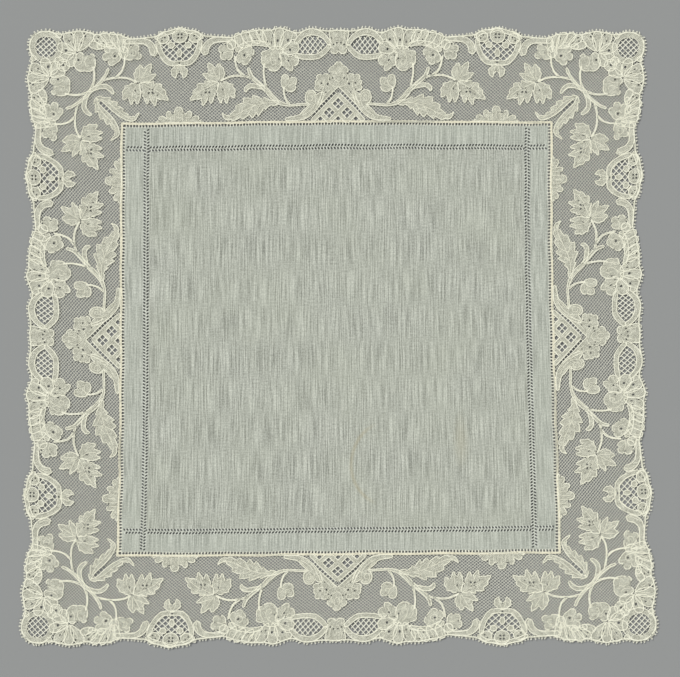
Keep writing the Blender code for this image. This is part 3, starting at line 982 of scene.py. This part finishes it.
def net_lines(lean):
    """Runs of crossings along one direction of the net, broken where the clothwork covers it."""
    count_a, count_r = free.shape
    starts = [(i, 0 if lean > 0 else count_r - 1) for i in range(count_a)]
    starts += [(0, j) for j in range(count_r)]
    broken = []
    for i, j in dict.fromkeys(start for start in starts if sum(start) % 2 == 0):
        line = []
        while i < count_a and 0 <= j < count_r:
            line.append((i, j))
            i, j = i + 1, j + lean
        part = []
        for k, crossing in enumerate(line):
            if whole[crossing] and any(free[near] for near in line[max(k - 1, 0):k + 2]):
                part.append(crossing)
                continue
            broken.append(part)
            part = []
        broken.append(part)
    return [np.array(part) for part in broken if len(part) > 1]


net_index = {lean: net_lines(lean) for lean in (1, -1)}
# net thread: a painted highlight and a painted shade of one thread colour
net_finish = lace_finish("lace_net_thread", (0.75, 0.74, 0.61), (0.54, 0.53, 0.44), 0.8)
for side, side_name in enumerate(SIDES):
    verts_all, faces_all, places_all, base = [], [], [], 0
    for hand in (-1, 1):
        crossings = np.stack([node_a, node_r], -1)
        stray = chance.normal(0, NET_STRAY, crossings.shape)
        crossings[1:] += stray[1:]
        for lean, lift in zip((1, -1), NET_LIFT):
            runs = [to_cloth(side, hand, crossings[line[:, 0], line[:, 1]]) for line in net_index[lean]]
            verts, faces, places = tubes(runs, NET_WIDTH[lean * hand > 0], NET_HEIGHT, lift, 4)
            verts_all.append(verts)
            places_all.append(places)
            faces_all += [tuple(v + base for v in f) for f in faces]
            base += len(verts)
    piece = new_piece("lace_net_" + side_name, np.vstack(verts_all), faces_all)
    note_cloth_place(piece, np.vstack(places_all))
    piece.data.materials.append(net_finish)
    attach(piece, "root")


# ---------------------------------------------------------------------------------------------
# Picots: small loops of the same linen thread along the scalloped edge, pinned out side by side
# as the lace is worked.
# ---------------------------------------------------------------------------------------------
PICOT_PITCH = 1.85              # mm
PICOT_SIZE = (0.30, 1.35)       # half width, usual reach
PICOT_LEAN = 0.25
PICOT_THREAD = (0.36, 0.26)     # width and height
PICOT_LIFT = 0.75
edge_steps = np.hypot(*np.diff(edge_line, axis=0).T)
edge_length = np.concatenate([[0], np.cumsum(edge_steps)])
picot_at = np.arange(0.5 * PICOT_PITCH, edge_length[-1], PICOT_PITCH)
picot_spot = np.column_stack([np.interp(picot_at, edge_length, edge_line[:, k]) for k in (0, 1)])
edge_normal = normals_of(edge_line)
picot_normal = np.column_stack([np.interp(picot_at, edge_length, edge_normal[:, k]) for k in (0, 1)])
arch = np.linspace(-0.15, np.pi + 0.15, 7)


def picot_loop(spot, outward):
    """A loop standing on the edge; no two reach or lean quite alike."""
    outward = outward if outward[1] > 0 else -outward
    tangent = np.array([outward[1], -outward[0]])
    leaning = outward + chance.normal(0, PICOT_LEAN) * tangent
    reach = PICOT_SIZE[1] * chance.uniform(0.75, 1.15)
    loop = np.outer(np.cos(arch) * PICOT_SIZE[0], tangent) + np.outer(np.sin(arch) * reach, leaning)
    return spot - 0.2 * outward + loop


for side, side_name in enumerate(SIDES):
    runs = [to_cloth(side, hand, picot_loop(spot, outward)) for hand in (-1, 1)
            for spot, outward in zip(picot_spot, picot_normal)]
    thread_piece("lace_picots_" + side_name, runs, *PICOT_THREAD, PICOT_LIFT, 4, cord_finish)


# ---------------------------------------------------------------------------------------------
# Footing: two thicker cords of unbleached thread that run along the lace's foot, side by side
# on its narrow cloth band, and take the strain of the seam.
# ---------------------------------------------------------------------------------------------
FOOTING_OUT = (1.22, 1.82)      # mm beyond the lace's foot
FOOTING_SIZE = (0.60, 0.42)     # width and height
FOOTING_LIFT = 0.8

# unbleached thread colour, given as a painted highlight and a painted shade of it
footing_finish = lace_finish("lace_footing_cord", (0.84, 0.80, 0.61), (0.64, 0.60, 0.45), 0.75)
foot_along = np.append(np.arange(0.0, LACE_START, 1.1), LACE_START)
foot_lines = [np.column_stack([foot_along * (1 + out / LACE_START), np.full(len(foot_along), out)])
              for out in FOOTING_OUT]
footings = [thread_piece("lace_footing_" + side_name, both_halves(side, foot_lines), *FOOTING_SIZE,
                         FOOTING_LIFT, 6, footing_finish, 0.05)
            for side, side_name in enumerate(SIDES)]


# ---------------------------------------------------------------------------------------------
# Joining stitches: the pierced seam that holds the lace's foot to the folded linen edge, a row
# of tight bars with a small hole between each pair.
# ---------------------------------------------------------------------------------------------
STITCH_PITCH = 1.67             # mm
STITCH_SIZE = (0.66, 0.30)      # width and height
STITCH_LIFT = 0.74

# a painted highlight and a painted shade of one thread colour
stitch_finish = lace_finish("joining_stitches", (0.82, 0.80, 0.66), (0.66, 0.65, 0.53), 0.8)
stitch_at = np.arange(0.5, LACE_START / STITCH_PITCH) * STITCH_PITCH
stitch_runs = [np.array([(a - 0.1, -0.5), (a, 0.0), (a + 0.05, 0.6), (a + 0.1, 1.3)]) for a in stitch_at]
stitches = [thread_piece("joining_stitches_" + side_name, both_halves(side, stitch_runs), *STITCH_SIZE,
                         STITCH_LIFT, 5, stitch_finish, 0.04)
            for side, side_name in enumerate(SIDES)]


# ---------------------------------------------------------------------------------------------
# Hem stitches: the short slanting bars of sewing thread, drawn tight between the holes of both
# rows, which give the hem its herringbone line. They leave out the crossing at each corner.
# ---------------------------------------------------------------------------------------------
BAR_SLANT = 0.00034             # half length along the row
BAR_REACH = 0.00075             # half length across it
BAR_SIZE = (0.32, 0.24)         # mm, width and height
BAR_LIFT = 0.82

hem_runs = []
for along_x, along_y in ((1, 0), (0, -1), (-1, 0), (0, 1)):
    for row, out in enumerate(DRAWN_ROWS):
        for step in np.arange(-66.5, 67.0):
            along = step * HOLE_PITCH + row * ROW_SHIFT
            if along_x and abs(abs(along) - HEM_LINE) < 0.0017:
                continue
            a = along + np.array([-1, 0, 1]) * BAR_SLANT * (1 if row else -1)
            b = out + np.array([-1, 0, 1]) * BAR_REACH
            hem_runs.append(np.column_stack([a * along_x - b * along_y, a * along_y + b * along_x]))
# sewing thread: a painted highlight and a painted shade of one thread colour
hem_finish = lace_finish("hem_stitches", (0.86, 0.87, 0.78), (0.68, 0.69, 0.61), 0.8)
hem_stitches = thread_piece("hem_stitches", hem_runs, *BAR_SIZE, BAR_LIFT, 4, hem_finish, 0.04)


# ---------------------------------------------------------------------------------------------
# Floor, light and camera: a plain pale floor, one broad soft lamp from the upper left with a
# faint fill, and a camera straight above.
# ---------------------------------------------------------------------------------------------
FLOOR_COLOUR = (0.26, 0.264, 0.256)
LENS = 85                       # mm, on a sensor 36 mm wide
SENSOR = 36
VIEW_WIDTH = 0.3621             # metres that the view takes in across the cloth

bpy.ops.mesh.primitive_plane_add(size=10)
floor = bpy.context.object
floor.name = "floor"
floor_finish, _, floor_shader = new_finish("pale_floor")
floor_shader.inputs["Base Color"].default_value = (*FLOOR_COLOUR, 1)
floor_shader.inputs["Roughness"].default_value = 0.9
floor.data.materials.append(floor_finish)


def soft_lamp(name, place, breadth, strength):
    """A broad lamp far away in the direction of a place; breadth is its width in degrees."""
    lamp_data = bpy.data.lights.new(name, "SUN")
    lamp_data.angle = math.radians(breadth)
    lamp_data.energy = strength
    lamp = bpy.data.objects.new(name, lamp_data)
    bpy.context.scene.collection.objects.link(lamp)
    lamp.location = place
    lamp.rotation_euler = (-Vector(place)).to_track_quat("-Z", "Y").to_euler()


soft_lamp("key_lamp", (-1.5, 1.5, 2.0), 25, 2.85)
soft_lamp("fill_lamp", (1.8, -1.2, 2.4), 42, 0.70)
world = bpy.data.worlds.new("studio")
world.use_nodes = True
world.node_tree.nodes["Background"].inputs["Color"].default_value = (0.92, 0.96, 1.0, 1)
world.node_tree.nodes["Background"].inputs["Strength"].default_value = 0.36
bpy.context.scene.world = world

camera_data = bpy.data.cameras.new("camera")
camera_data.lens = LENS
camera_data.sensor_width = SENSOR
camera = bpy.data.objects.new("camera", camera_data)
bpy.context.scene.collection.objects.link(camera)
camera.location = (0.0006, -0.0007, VIEW_WIDTH / SENSOR * LENS)
bpy.context.scene.camera = camera
bpy.context.scene.view_settings.view_transform = "Standard"
